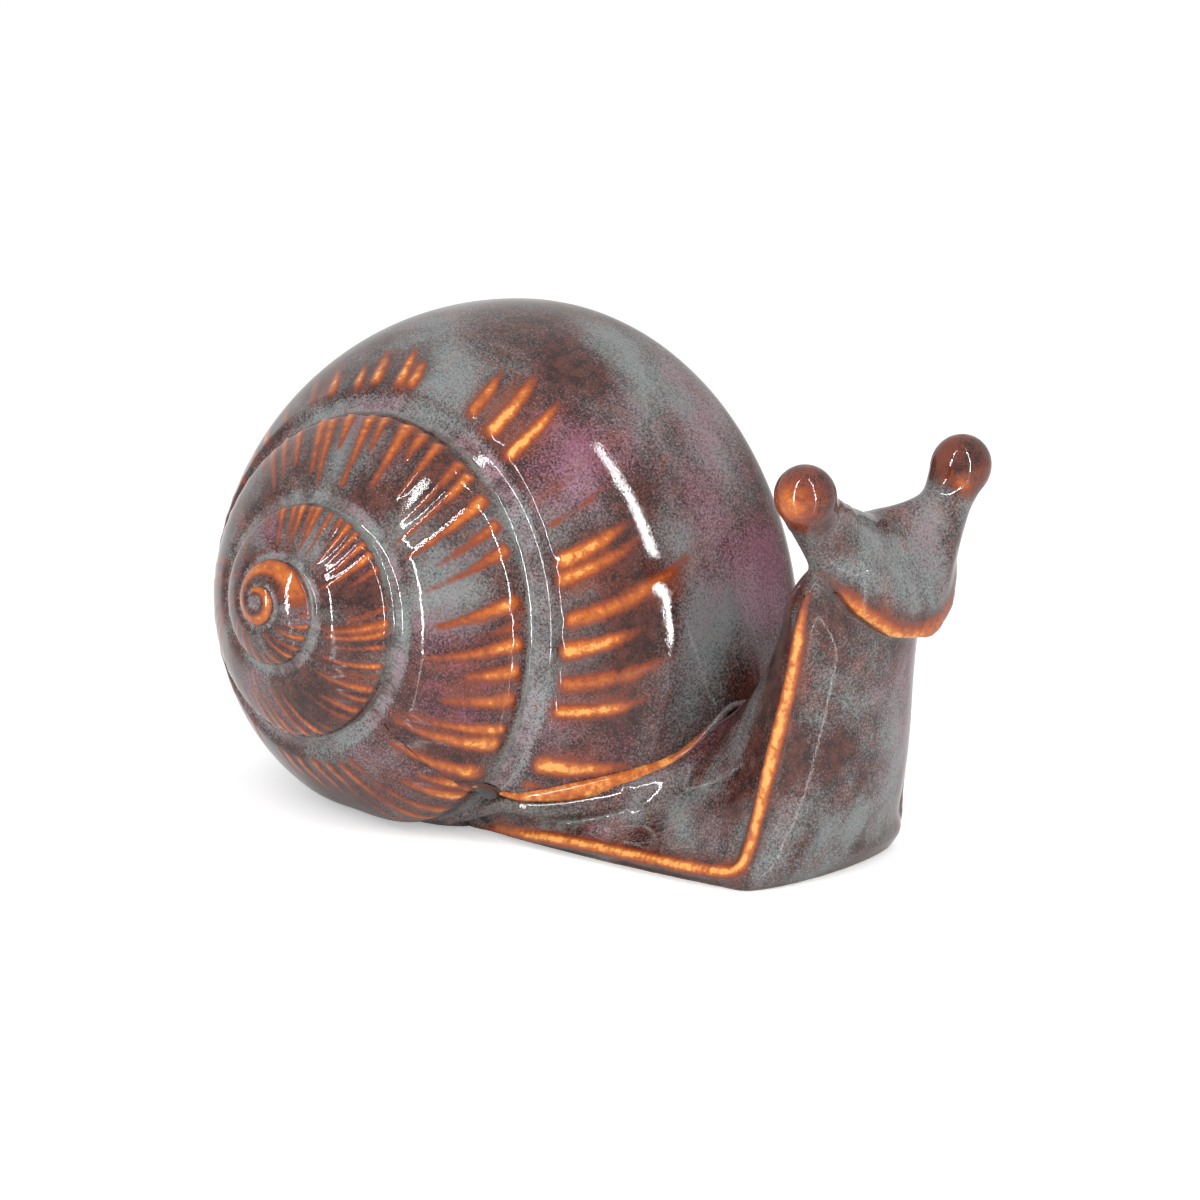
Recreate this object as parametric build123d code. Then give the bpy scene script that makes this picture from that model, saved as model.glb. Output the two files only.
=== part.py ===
"""Garden-snail figurine: six clay pieces stuck together with slip before firing.

Millimetres, +Z up, +X the way the snail faces, +Y its left side. The origin is on the sole, under the
middle of the foot. Every size below is the fired and glazed size.
"""
import os
from math import cos, exp, floor, hypot, pi, radians, sin

from build123d import *

# Shell. The suture is a conical spiral about the shell axis, which points to the right and a little up.
APEX_X = -37.2
APEX_Y = -44.7
APEX_Z = 34.6
AXIS_TILT = 10.1          # degrees that the spire points upwards
WHORLS = 4.378            # turns from the apex to the end of the suture
SUTURE_R = 26.7           # distance of the suture from the axis after four turns
SUTURE_DROP = 19.3        # distance of the same point below the apex, along the axis
GROWTH = 0.568            # growth of the suture radius per turn, as a logarithm
GROWTH_EASE = 0.083       # how much that growth slackens towards the mouth
SPIRE_POWER = 1.23        # above 1 makes the spire steeper towards the body whorl
WHORL_BULGE = 0.07        # rise of each whorl between its sutures, as a share of its width
GIRTH_R = 42.5            # largest radius of the body whorl after four turns
GIRTH_DROP = 49.1         # where that radius lies, below the apex
BASE_DROP = 72.5          # length of the shell along its axis
BUTTON_R = 3.4            # first whorl, a smooth round button
CORE_R = 0.6              # radius at which the whorls close round their axis
VALLEY_DEPTH = 0.9        # how far the suture lies sunk between two whorls
VALLEY_W = 4.0            # from the suture to the shoulder of the whorl outside it
RIBS = 52                 # places for carved ribs in one turn, not all of them used
RIB_H = 0.55              # how far a rib stands up
RIB_SINK = 0.35           # how deep its two ends run into the clay
RIB_LEAN = 0.34           # slant of the ribs, as a slope
RIB_CHOICE = 0.5          # the higher, the fewer of the places are carved
RIB_BODY_START = 3.72     # turns at which the ribs of the body whorl begin and end
RIB_END = 4.31

# Clay
WALL = 4.0                # thickness of the castings
HOLLOW_L = 36.0           # hollow in the foot
HOLLOW_W = 11.0
HOLLOW_H = 11.0
VENT_D = 6.0              # hole in the sole that lets the kiln air out
VENT_X = 8.0

# Mouth of the shell: a saddle of two planes that rise forwards and inwards, ending at the tail of the foot.
MOUTH_Z = 16.3            # height of the crest over the origin
MOUTH_RISE_X = 0.205
MOUTH_RISE_Y = 0.47
COLLAR_T = 3.0            # thickness of the mantle collar
COLLAR_INSET = 0.8        # the collar stands back this far under the lip
TAIL_X = -23.0

# Foot and neck
SOLE_FRONT_X = 24.0       # front corners of the sole
SOLE_HALF_W = 15.75       # half width there
FLARE = 0.9               # how much wider the sole grows towards the tail
RIDGE_H = 2.6             # height of the ridge round the sole
NECK_TOP_Z = 48.5
WAIST_Z = 33.0
WAIST_HALF_W = 11.7
BROW_HALF_W = 13.6
NECK_LEAN = 11.5          # how far the ridge leans forwards between sole and brow

# Head and eyes
CHIN_X = 40.1
CHIN_Z = 33.7
FACE_SLOPE = 21.5         # degrees that the face looks upwards
FACE_T = 5.2              # thickness of the face pad
FACE_CORNER_R = 4.2       # top corners, under the eye stalks
FACE_CHIN_R = 7.6         # the broad curve of the jaw
FACE_HALF_W = 15.0
FACE_H = 16.6
EYE_D = 8.6
STALK_D = 6.6
STALK_FOOT = 0.7          # how much the stem widens at its seat
STALK_L = 10.2            # from the seat to the middle of the eye
STALK_SPLAY = 27.0        # degrees that each stalk leans outwards
STALK_LEAN = 15.0         # degrees that it leans forwards
EYE_X = 35.4              # middle of the eye
EYE_Y = 16.0
EYE_Z = 54.2

OUT = "parts"


def between(low, high, share):
    return low + (high - low) * share


def suture(n):
    """Radius and drop of the suture after n turns."""
    step = n - 4
    r = SUTURE_R * exp(GROWTH * step - GROWTH_EASE * step * step)
    return r, SUTURE_DROP * (r / SUTURE_R) ** SPIRE_POWER


def valley(n):
    """The suture after n turns, sunk into the valley between the whorls."""
    r, z = suture(n)
    back, ahead = suture(n - 0.01), suture(n + 0.01)
    run = hypot(ahead[0] - back[0], ahead[1] - back[1])
    sunk = VALLEY_DEPTH * min(1, r / SUTURE_R) ** 0.5 / run
    return r - sunk * (ahead[1] - back[1]), z + sunk * (ahead[0] - back[0])


def whorl_edges(m):
    """Outer edges of half the shell, cut along its axis at turn m, from the apex to the base.

    The first is the flat under the button, then come three spire whorls, the shoulder of the body whorl,
    its upper part and its lower part.
    """
    turn = 2 * pi * m
    around = Vector(cos(turn), sin(turn), 0)

    def at(r, z):
        return around * r + Vector(0, 0, z)

    rings = [valley(m - 3), valley(m - 2), valley(m - 1), valley(m)]
    edges = [Edge.make_line(at(CORE_R, rings[0][1] * 0.5), at(*rings[0]))]
    for (ra, za), (rb, zb) in zip(rings, rings[1:]):
        run_r, run_z = rb - ra, zb - za
        rise = (WHORL_BULGE + VALLEY_DEPTH * min(1, rb / SUTURE_R) ** 0.5 / hypot(run_r, run_z)) / 0.75
        inner = at(ra + 0.22 * run_r + rise * run_z, za + 0.22 * run_z - rise * run_r)
        outer = at(rb - 0.16 * run_r + rise * run_z, zb - 0.16 * run_z - rise * run_r)
        edges.append(Edge.make_bezier(at(ra, za), inner, outer, at(rb, zb)))
    rs, zs = suture(m)
    size = rs / SUTURE_R
    girth = at(GIRTH_R * size ** 0.94, GIRTH_DROP * size ** 0.92)
    top = at(rs, zs)
    bend = at(GIRTH_R * size ** 0.94, zs + 0.43 * (girth.Z - zs))
    part = VALLEY_W / (bend - top).length / 2
    bend_after = between(bend, girth, part)
    shoulder = between(between(top, bend, part), bend_after, part)
    floor_run = (shoulder - top) * 0.45
    sunk = at(*rings[3])
    before = shoulder - (bend_after - shoulder).normalized() * VALLEY_W * 0.3
    edges.append(Edge.make_bezier(sunk, sunk + floor_run, before, shoulder))
    edges.append(Edge.make_bezier(shoulder, bend_after, girth))
    low = at(GIRTH_R * size ** 0.94, girth.Z + 0.51 * (BASE_DROP - girth.Z))
    under = at(0.51 * GIRTH_R * size ** 0.94, BASE_DROP)
    edges.append(Edge.make_bezier(girth, low, under, at(CORE_R, BASE_DROP)))
    return edges


def whorl_section(m):
    edges = whorl_edges(m)
    return Wire(edges + [Edge.make_line(edges[-1] @ 1, edges[0] @ 0)])


def half_turn(first):
    return Solid.make_loft([whorl_section(first + i / 12) for i in range(7)])


def under_plane(z_at_origin, rise_y):
    across = Vector(1, 0, MOUTH_RISE_X)
    along = Vector(0, 1, rise_y)
    plane = Plane(origin=(0, 0, z_at_origin), x_dir=across, z_dir=across.cross(along))
    return plane * Pos(0, 0, -100) * Box(400, 400, 200)


def under_saddle(depth):
    """Everything forward of the tail that lies at least this deep under the saddle."""
    drop = depth * (1 + MOUTH_RISE_X ** 2 + MOUTH_RISE_Y ** 2) ** 0.5
    right = under_plane(MOUTH_Z - drop, MOUTH_RISE_Y)
    left = under_plane(MOUTH_Z - drop, -MOUTH_RISE_Y)
    return right & left & Pos(TAIL_X + 150, 0, 0) * Box(300, 300, 300)


above_floor = Pos(0, 0, 100) * Box(400, 400, 200)
mouth_cut = under_saddle(0)
seat_cut = under_saddle(COLLAR_T)

# Shell: a spiral casting, open at the mouth, with a small flat where it rests on the table behind the foot.
tilt = radians(AXIS_TILT)
shell_plane = Plane(
    origin=(APEX_X, APEX_Y, APEX_Z),
    x_dir=(0, sin(tilt), cos(tilt)),
    z_dir=(0, cos(tilt), -sin(tilt)),
)
start = WHORLS - 1
button = Pos(0, 0, BUTTON_R * 0.92) * Sphere(BUTTON_R)
column = Pos(0, 0, 1.0) * Cylinder(2 * CORE_R, BASE_DROP - 1.0, align=(Align.CENTER, Align.CENTER, Align.MIN))
whorls = half_turn(start) + half_turn(start + 0.5) + column + button


def shrunk(inset):
    """The closed shell drawn in evenly towards its middle."""
    by = 1 - inset / (GIRTH_R * 0.86)
    return shell_plane.location * Pos(0, 0, BASE_DROP * 0.6 * (1 - by)) * scale(whorls, by=by)


shell_hollow = (shell_plane.location * Rot(0, 0, -6) * shell_plane.location.inverse()) * shrunk(WALL)
shell_hollow = shell_hollow & Pos(0, 0, WALL) * above_floor
shell_solid = (shell_plane.location * whorls) & above_floor
shell_space = shell_solid - mouth_cut


def uneven(index, kind):
    """A fixed number from 0 to 1 that sets one rib apart from the next, as carving by hand does."""
    spread = sin(index * 12.9898 + kind * 78.233) * 43758.5453
    return spread - floor(spread)


def rib(index, whorl, first, last):
    """A rib from one share of a whorl's width to another: a spindle with both ends sunk in the clay."""
    turn = (index + 0.5 + 0.5 * (uneven(index, 1) - 0.5)) / RIBS
    outside = 1 if whorl == SPIRE_EDGE else 0

    def on_whorl(share):
        straight = whorl_edges(turn + outside)[whorl]
        away = (straight @ share - straight @ 0).length
        leant = turn - RIB_LEAN * away / (2 * pi * suture(turn + 0.5)[0])
        return whorl_edges(leant + outside)[whorl] @ share

    start, middle, end = on_whorl(first), on_whorl((first + last) / 2), on_whorl(last)
    outwards = (middle - (start + end) / 2).normalized()
    start, end = start - outwards * RIB_SINK, end - outwards * RIB_SINK
    length = (end - start).length
    radius = RIB_H + (middle - (start + end) / 2).length
    full = radius * 4 / 3
    side = Edge.make_bezier((0, 0, 0), (full, 0, length / 4), (full, 0, length * 3 / 4), (0, 0, length))
    spindle = revolve(Face(Wire([side, Edge.make_line((0, 0, length), (0, 0, 0))])), Axis.Z)
    return shell_plane.location * Plane(origin=start, z_dir=end - start).location * spindle


# Ribs: the bolder ones on the last spire whorl and beside the suture of the body whorl.
SPIRE_EDGE = 3
BODY_EDGE = 5
ribs = []
for index in range(floor((WHORLS - 2) * RIBS), floor(RIB_END * RIBS)):
    if 0.6 * uneven(index, 2) + 0.4 * uneven(floor(index / 5), 3) < RIB_CHOICE:
        continue
    if index < (WHORLS - 1) * RIBS:
        ribs.append(rib(index, SPIRE_EDGE, 0.3 + 0.22 * uneven(index, 5), 0.9))
    elif index > RIB_BODY_START * RIBS:
        ribs.append(rib(index, BODY_EDGE, 0.01, 0.2 + 0.16 * uneven(index, 5)))
shell = shell_space + ribs - shell_hollow

# Mantle collar: a roll of clay in the mouth, standing a little back under the lip.
collar_block = shrunk(COLLAR_INSET) & above_floor & (mouth_cut - seat_cut)
collar = collar_block - shell_hollow


def level_cut(z, ridge_x, half_w, belly, depth, pinch):
    """Level cut of foot and neck: chest in front, flanks drawn together behind, a sharp ridge each side."""
    right = Vector(ridge_x, -half_w, z)
    left = Vector(ridge_x, half_w, z)
    fore = Vector(belly * 4 / 3, half_w * 0.25, 0)
    aft = Vector(-depth * 4 / 3, half_w * pinch, 0)
    return Wire([
        Edge.make_bezier(right, right + fore, left + Vector(fore.X, -fore.Y, 0), left),
        Edge.make_bezier(left, left + Vector(aft.X, -aft.Y, 0), right + aft, right),
    ])


def flank_cut(rise, lean, slim, belly, depth, pinch):
    """Level cut at a share of the waist's height, with a share of the neck's lean and of its slimming."""
    half_w = between(SOLE_HALF_W, WAIST_HALF_W, slim)
    return level_cut(WAIST_Z * rise, SOLE_FRONT_X + NECK_LEAN * lean, half_w, belly, depth, pinch)


# Foot: ridged sole, flanks drawn in under the mouth, chest and neck. Its hollow opens into the shell.
nape_z = between(WAIST_Z, NECK_TOP_Z, 0.5)
nape_half_w = between(WAIST_HALF_W, BROW_HALF_W, 0.5)
body = Solid.make_loft([
    level_cut(0, SOLE_FRONT_X - 0.8, SOLE_HALF_W - 1.3, 3.0, 80, -FLARE),
    level_cut(RIDGE_H, SOLE_FRONT_X + 0.2, SOLE_HALF_W, 4.6, 85, -FLARE),
    flank_cut(0.16, 0.08, 0.14, 5.5, 56, -0.05),
    flank_cut(0.28, 0.15, 0.3, 6.2, 40, 0.35),
    flank_cut(0.42, 0.23, 0.42, 6.5, 26, 0.7),
    flank_cut(0.56, 0.3, 0.55, 6.5, 18.5, 0.7),
    flank_cut(0.79, 0.42, 0.85, 6.2, 12.5, 0.5),
    flank_cut(1, 0.53, 1, 5.9, 9.5, 0.3),
    level_cut(nape_z, SOLE_FRONT_X + NECK_LEAN * 0.78, nape_half_w, 4.5, 8, 0.2),
    level_cut(NECK_TOP_Z - 3, SOLE_FRONT_X + NECK_LEAN, BROW_HALF_W - 0.8, 3.0, 7, 0.2),
    level_cut(NECK_TOP_Z, SOLE_FRONT_X + NECK_LEAN, BROW_HALF_W - 3.5, 2.0, 5, 0.2),
])
body = body & Pos(TAIL_X + 150, 0, 0) * Box(300, 300, 300)
inside = Box(HOLLOW_L, HOLLOW_W, HOLLOW_H, align=(Align.MIN, Align.CENTER, Align.MIN))
inside = Pos(TAIL_X + WALL, 0, WALL) * fillet(inside.edges().filter_by(Axis.Z), HOLLOW_W * 0.3)
vent = Pos(VENT_X, 0, 0) * Cylinder(VENT_D / 2, 4 * WALL)

# Head: a shield-shaped pad on a flat seat cut into the front of the neck.
face_up = radians(FACE_SLOPE)
face_mid = (CHIN_X - FACE_H / 2 * sin(face_up), 0, CHIN_Z + FACE_H / 2 * cos(face_up))
face_plane = Plane(origin=face_mid, x_dir=(0, 1, 0), z_dir=(cos(face_up), 0, sin(face_up)))
corner_x = FACE_HALF_W - FACE_CORNER_R
corner_y = FACE_H / 2 - FACE_CORNER_R
rounds = [Pos(x, corner_y) * Circle(FACE_CORNER_R) for x in (corner_x, -corner_x)]
rounds.append(Pos(0, FACE_CHIN_R - FACE_H / 2) * Circle(FACE_CHIN_R))
shield = make_face(make_hull(sum((r.edges() for r in rounds), ShapeList())).edges())
pad = Pos(0, 0, -FACE_T) * extrude(shield, amount=FACE_T)
pad = fillet(pad.faces().sort_by(Axis.Z)[-1].edges(), FACE_T * 0.45)
pad = face_plane.location * pad
front_of_seat = face_plane.location * Pos(0, 0, 50 - FACE_T) * Box(120, FACE_H + 12, 100)
foot = body - front_of_seat - (shell_solid - seat_cut) - inside - vent


def stalk_plane(side):
    tip = Vector(EYE_X, side * EYE_Y, EYE_Z)
    splay = radians(STALK_SPLAY)
    fore = radians(STALK_LEAN)
    up = Vector(sin(fore), side * sin(splay) * cos(fore), cos(splay) * cos(fore))
    return Plane(origin=tip - up * STALK_L, z_dir=up)


# Eye stalks: rolled by hand, each a flared stem with a ball, on a flat seat at a top corner of the head.
ball = EYE_D / 2
stem = STALK_D / 2
joint_z = STALK_L - (ball ** 2 - stem ** 2) ** 0.5
stem_middle = (stem + STALK_FOOT * 0.36, 0, joint_z * 0.4)
stalk_outline = Wire([
    Edge.make_line((0, 0, 0), (stem + STALK_FOOT, 0, 0)),
    Edge.make_three_point_arc((stem + STALK_FOOT, 0, 0), stem_middle, (stem, 0, joint_z)),
    Edge.make_three_point_arc((stem, 0, joint_z), (ball, 0, STALK_L), (0, 0, STALK_L + ball)),
    Edge.make_line((0, 0, STALK_L + ball), (0, 0, 0)),
])
stalk = revolve(Face(stalk_outline), Axis.Z)
socket = Cylinder(stem + STALK_FOOT + 1.4, 20, align=(Align.CENTER, Align.CENTER, Align.MIN))
right_stalk = stalk_plane(-1).location * stalk
left_stalk = stalk_plane(1).location * stalk
head = pad - stalk_plane(-1).location * socket - stalk_plane(1).location * socket
foot = foot - stalk_plane(-1).location * socket - stalk_plane(1).location * socket

os.makedirs(OUT, exist_ok=True)
export_step(shell, OUT + "/shell.step")
export_step(collar, OUT + "/mantle_collar.step")
export_step(foot, OUT + "/foot.step")
export_step(head, OUT + "/head.step")
export_step(right_stalk, OUT + "/right_eye_stalk.step")
export_step(left_stalk, OUT + "/left_eye_stalk.step")
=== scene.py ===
import math

import bmesh
import bpy
import numpy as np
from mathutils import Matrix, Vector
from mathutils.kdtree import KDTree


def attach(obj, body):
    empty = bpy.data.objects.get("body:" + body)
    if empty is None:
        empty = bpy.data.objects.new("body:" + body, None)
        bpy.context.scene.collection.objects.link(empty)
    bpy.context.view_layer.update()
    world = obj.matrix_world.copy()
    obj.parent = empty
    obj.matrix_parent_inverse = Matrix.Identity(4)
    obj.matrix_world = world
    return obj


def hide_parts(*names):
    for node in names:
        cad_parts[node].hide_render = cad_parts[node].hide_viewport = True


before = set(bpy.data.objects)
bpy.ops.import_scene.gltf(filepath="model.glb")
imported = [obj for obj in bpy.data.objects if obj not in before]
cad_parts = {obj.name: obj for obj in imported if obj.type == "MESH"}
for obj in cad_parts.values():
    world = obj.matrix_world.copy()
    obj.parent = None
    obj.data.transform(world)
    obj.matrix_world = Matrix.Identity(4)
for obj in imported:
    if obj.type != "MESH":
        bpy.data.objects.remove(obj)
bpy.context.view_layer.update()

# Shell: a coiled shell of stoneware clay, pressed hollow in a mould and carved across each whorl
# with short ribs while the clay was soft. It sits over the back of the foot with its mouth down and
# its spire out to one side, and its glaze runs off every raised edge.
APEX = Vector((-.0372, -.0447, .0346))
AXIS_TILT = math.radians(10.1)
WHORLS = 4.378
SPIRE_TURNS = 3.5
SUTURE_R = .0267
SUTURE_DROP = .0193
GROWTH = .568
GROWTH_EASE = .083
SPIRE_POWER = 1.23
WHORL_BULGE = .07
GIRTH_R = .0425
GIRTH_DROP = .0491
BASE_DROP = .0725
CORE_R = .0006
SKIN = .0004
VALLEY_DEPTH = .0011
VALLEY_RIM = .0034
VALLEY_FLOOR = .0018
VALLEY_RISE = .0018
RIBS = 52
RIB_H = .00055
RIB_SHARE = .25
RIB_RELIEF = .75
RIB_LEAN = .34
RIB_SWEEP = 6.5
FULL_PITCH = .0037
FULL_WHORL_R = .030
BUD_TURN = 1.2
SEAM_SWELL = .14
MOUTH_Z = .0163
MOUTH_RISE_X = .205
MOUTH_RISE_Y = .47
MOUTH_TOP_Z = .036
TAIL_X = -.023
LIP_TAIL_X = -.014
LIP_TAIL_RISE = .0046
LIP_FALL = .334
LIP_NECK_RISE = .0070
LIP_R = .0013
LIP_T = .003
LIP_TURN = .12
LIP_START_X = -.0130
LIP_TIP_L = .0034
FLOOR_ROUND = .0022
TURN_STEPS = 640
SPIRE_ROWS = 16
UPPER_ROWS = 62
LOWER_ROWS = 22


def fade(low, high, value):
    share = np.clip((value - low) / (high - low), 0, 1)
    return share * share * (3 - 2 * share)


def chance(index, kind):
    spread = np.sin(index * 12.9898 + kind * 78.233) * 43758.5453
    return spread - np.floor(spread)


def suture(turn):
    step = turn - 4
    radius = SUTURE_R * np.exp(GROWTH * step - GROWTH_EASE * step ** 2)
    return radius, SUTURE_DROP * (radius / SUTURE_R) ** SPIRE_POWER


def suture_normal(turn):
    near_r, near_z = suture(turn - .01)
    far_r, far_z = suture(turn + .01)
    length = np.hypot(far_r - near_r, far_z - near_z)
    return (far_z - near_z) / length, (near_r - far_r) / length


def bezier(points, share):
    order = len(points) - 1
    weights = [math.comb(order, k) * (1 - share) ** (order - k) * share ** k for k in range(order + 1)]
    return tuple(sum(w * p[axis] for w, p in zip(weights, points)) for axis in (0, 1))


def round_the_axis(turn, radius, drop):
    across = radius * np.cos(2 * np.pi * turn)
    ahead = radius * np.sin(2 * np.pi * turn)
    return np.stack([
        APEX.x + ahead,
        APEX.y + across * math.sin(AXIS_TILT) + drop * math.cos(AXIS_TILT),
        APEX.z + across * math.cos(AXIS_TILT) - drop * math.sin(AXIS_TILT)], axis=1)


def lip_sway(x):
    """How far the lip stands above the mouth's flat saddle: high at tail and neck, low between them."""
    tail = (LIP_TAIL_RISE - LIP_FALL * (x - LIP_TAIL_X)) * fade(-.0185, -.0135, x)
    return tail + LIP_NECK_RISE * fade(.0055, .0115, x)


def above_mouth(place):
    saddle = MOUTH_Z + MOUTH_RISE_X * place[:, 0] - MOUTH_RISE_Y * np.abs(place[:, 1])
    return place[:, 2] - saddle - lip_sway(place[:, 0])


def whorl_scale(turn):
    """How large the carving is on a whorl: 1 on the body whorl, less on the small ones of the spire."""
    return np.clip(suture(turn + .5)[0] / FULL_WHORL_R, .02, 1) ** .8


def rib_count(turn, across, has_rim):
    """Rib places passed since the first turn. The ribs of the body whorl sweep up at their far ends."""
    swept = RIB_SWEEP * np.clip(across - .003, 0, .020) ** 2 * (1 - has_rim)
    return RIBS * (turn + (RIB_LEAN * across + swept) / (2 * np.pi * suture(turn + .5)[0]))


def spire_like(turn, has_rim):
    """1 on the spire, fading out over the first part of the body whorl, which grows on from it."""
    return has_rim + (1 - has_rim) * (1 - fade(WHORLS - 1, WHORLS - .86, turn))


def ribs(turn, across, width, radius, has_rim):
    """How far the ribs stand up at a distance across a whorl of that width, and how bright they show."""
    count = rib_count(turn, across, has_rim)
    pitch = 2 * np.pi * radius / RIBS
    size = np.clip(pitch / FULL_PITCH, .18, 1.1)
    scale = whorl_scale(turn)
    kin = spire_like(turn, has_rim)
    height = np.zeros_like(turn)
    show = np.zeros_like(turn)
    worn = fade(.45, .62, turn % 1) * (1 - fade(.88, 1, turn % 1))
    young = (1 - fade(1.6, 2.2, turn)) * has_rim
    for step in (-2, -1, 0, 1, 2):
        index = np.floor(count) + step
        middle = index + .5 + .5 * (chance(index, 1) - .5)
        off = (count - middle) * pitch
        strength = fade(.08, .52, .6 * chance(index, 2) + .4 * chance(np.floor(index / 5), 3))
        strength = strength * (1 - young * (index % 2)) + (1 - strength) * .5 * young * (1 - index % 2)
        first = (VALLEY_FLOOR + VALLEY_RISE * (.55 + .4 * chance(index, 4))) * scale
        taper = RIB_SHARE * pitch * (.75 + .5 * chance(index, 7)) * (1 + .7 * young)
        start = first + width * .5 * chance(index, 5) ** 2
        end = width - (.9 + 1.1 * chance(index, 6)) * .0012 * scale
        far = np.clip((across - start) / (end - start), 0, 1)
        closed = fade(start - .0007 * scale, start + .0014 * scale, across)
        closed = closed * (1 - fade(end - .0013 * scale, end, across))
        closed = closed * (.35 + .65 * far) * fade(BUD_TURN - .05, BUD_TURN + .15, turn)
        reach = (.0095 + .0125 * chance(index, 5)) * (.5 + .5 * fade(4.03, 4.2, turn))
        run = np.clip((across - first) / reach, 0, 2)
        free = fade(first - .0004, first + .0014, across)
        free = free * (1 - .4 * np.minimum(run, 1)) * (1 - fade(.45, 1.1, run))
        taper = taper * ((.55 + .45 * far) * kin + (.92 - .36 * run) * (1 - kin))
        stroke = RIB_H * strength * (closed * kin + free * (1 - kin)) * np.exp(-(off / taper) ** 2)
        relief = RIB_RELIEF * (1 - .65 * worn) * (1 - .85 * fade(.12, .65, run) * (1 - kin))
        height += stroke * size * relief
        show += stroke * np.maximum(size, .8)
    return np.stack([height, show])


def spire_whorl(turn, share):
    inner = suture(turn)
    outer = suture(turn + 1)
    run_r = outer[0] - inner[0]
    run_z = outer[1] - inner[1]
    middle = (
        (inner[0] + outer[0]) / 2 + 2 * WHORL_BULGE * run_z,
        (inner[1] + outer[1]) / 2 - 2 * WHORL_BULGE * run_r)
    radius, drop = bezier([inner, middle, outer], share)
    width = np.hypot(run_r, run_z)
    normal_in = suture_normal(turn)
    normal_out = suture_normal(turn + 1)
    normal_r = normal_in[0] * (1 - share) + normal_out[0] * share
    normal_z = normal_in[1] * (1 - share) + normal_out[1] * share
    return radius, drop, normal_r, normal_z, share * width, width


def body_whorl(turn, share):
    top = suture(turn)
    size = top[0] / SUTURE_R
    swell = 1 + SEAM_SWELL * (1 - fade(WHORLS - 1, WHORLS - .86, turn))
    girth = (GIRTH_R * size ** .94 * swell, GIRTH_DROP * size ** .92)
    shoulder = (girth[0], top[1] + .43 * (girth[1] - top[1]))
    flank = (girth[0], girth[1] + .51 * (BASE_DROP - girth[1]))
    under = (.51 * girth[0], BASE_DROP + 0 * turn)
    core = (CORE_R + 0 * turn, BASE_DROP + 0 * turn)
    upper_part = UPPER_ROWS / (UPPER_ROWS + LOWER_ROWS)
    up = np.clip(share / upper_part, 0, 1)
    up = up * (.5 + .5 * up)
    down = np.clip((share - upper_part) / (1 - upper_part), 0, 1)

    def outline(up, down):
        upper = bezier([top, shoulder, girth], up)
        lower = bezier([girth, flank, under, core], down)
        return upper[0] + lower[0] - girth[0], upper[1] + lower[1] - girth[1]

    radius, drop = outline(up, down)
    ahead_r, ahead_z = outline(np.minimum(up + .004, 1), np.minimum(down + .004 * (up > .99), 1))
    back_r, back_z = outline(np.maximum(up - .004 * (down < .01), 0), np.maximum(down - .004, 0))
    length = np.hypot(ahead_r - back_r, ahead_z - back_z) + 1e-9
    across = np.hypot(girth[0] - top[0], girth[1] - top[1]) * (1.06 * up + 1.3 * down)
    near = np.exp(-across / .004)
    at_suture = suture_normal(turn)
    normal_r = near * at_suture[0] + (1 - near) * (ahead_z - back_z) / length
    normal_z = near * at_suture[1] + (1 - near) * (back_r - ahead_r) / length
    return radius, drop, normal_r, normal_z, across, 0 * turn


def valley_depth(turn):
    return VALLEY_DEPTH * np.sqrt(np.clip(suture(turn)[0] / SUTURE_R, .1, 1))


def carve(turn, share, whorl, has_rim):
    """A whorl's points in the world, with how bright the ribs show there, how deep each one lies in the
    suture at its inner and outer edge, and how far across the whorl it is."""
    radius, drop, normal_r, normal_z, across, width = whorl(turn, share)
    if not has_rim:
        _, _, _, _, _, width = spire_whorl(turn, 0)
        spire_share = np.clip(across / width, 0, 1)
        spire_r, spire_z, *_ = spire_whorl(turn, spire_share)
        joined = spire_like(turn, 0) * (1 - fade(.7, 1.0, spire_share))
        radius = radius + (spire_r - radius) * joined
        drop = drop + (spire_z - drop) * joined
    scale = whorl_scale(turn)
    rise = 1 - fade(VALLEY_FLOOR * scale, (VALLEY_FLOOR + VALLEY_RISE) * scale, across)
    rim = (1 - fade(0, VALLEY_RIM * scale, np.abs(width - across))) * spire_like(turn, has_rim)
    plain = round_the_axis(turn, radius, drop)
    clear = np.maximum(fade(.001, .004, above_mouth(plain)), has_rim)
    raised, show = ribs(turn, across, width, radius, has_rim) * clear
    height = raised - SKIN - np.maximum(valley_depth(turn) * rise, valley_depth(turn + 1) * rim)
    place = round_the_axis(turn, radius + height * normal_r, drop + height * normal_z)
    low = place[:, 2]
    rounded = (low + FLOOR_ROUND) ** 2 / (4 * FLOOR_ROUND)
    place[:, 2] = np.where(low > FLOOR_ROUND, low, np.where(low < -FLOOR_ROUND, 0, rounded))
    crest = fade(.22, .5, share) * (1 - fade(.72, .98, share)) * has_rim
    bud = .62 * RIB_H * (1 - fade(BUD_TURN - .04, BUD_TURN + .1, turn)) * crest
    return place, np.maximum(show, bud), rise * (turn < WHORLS - .0005), rim * has_rim, across


clay = bmesh.new()
growth = clay.loops.layers.uv.new("growth")
layers = [clay.verts.layers.float.new(name) for name in ("carved", "valley", "rim")]


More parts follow.
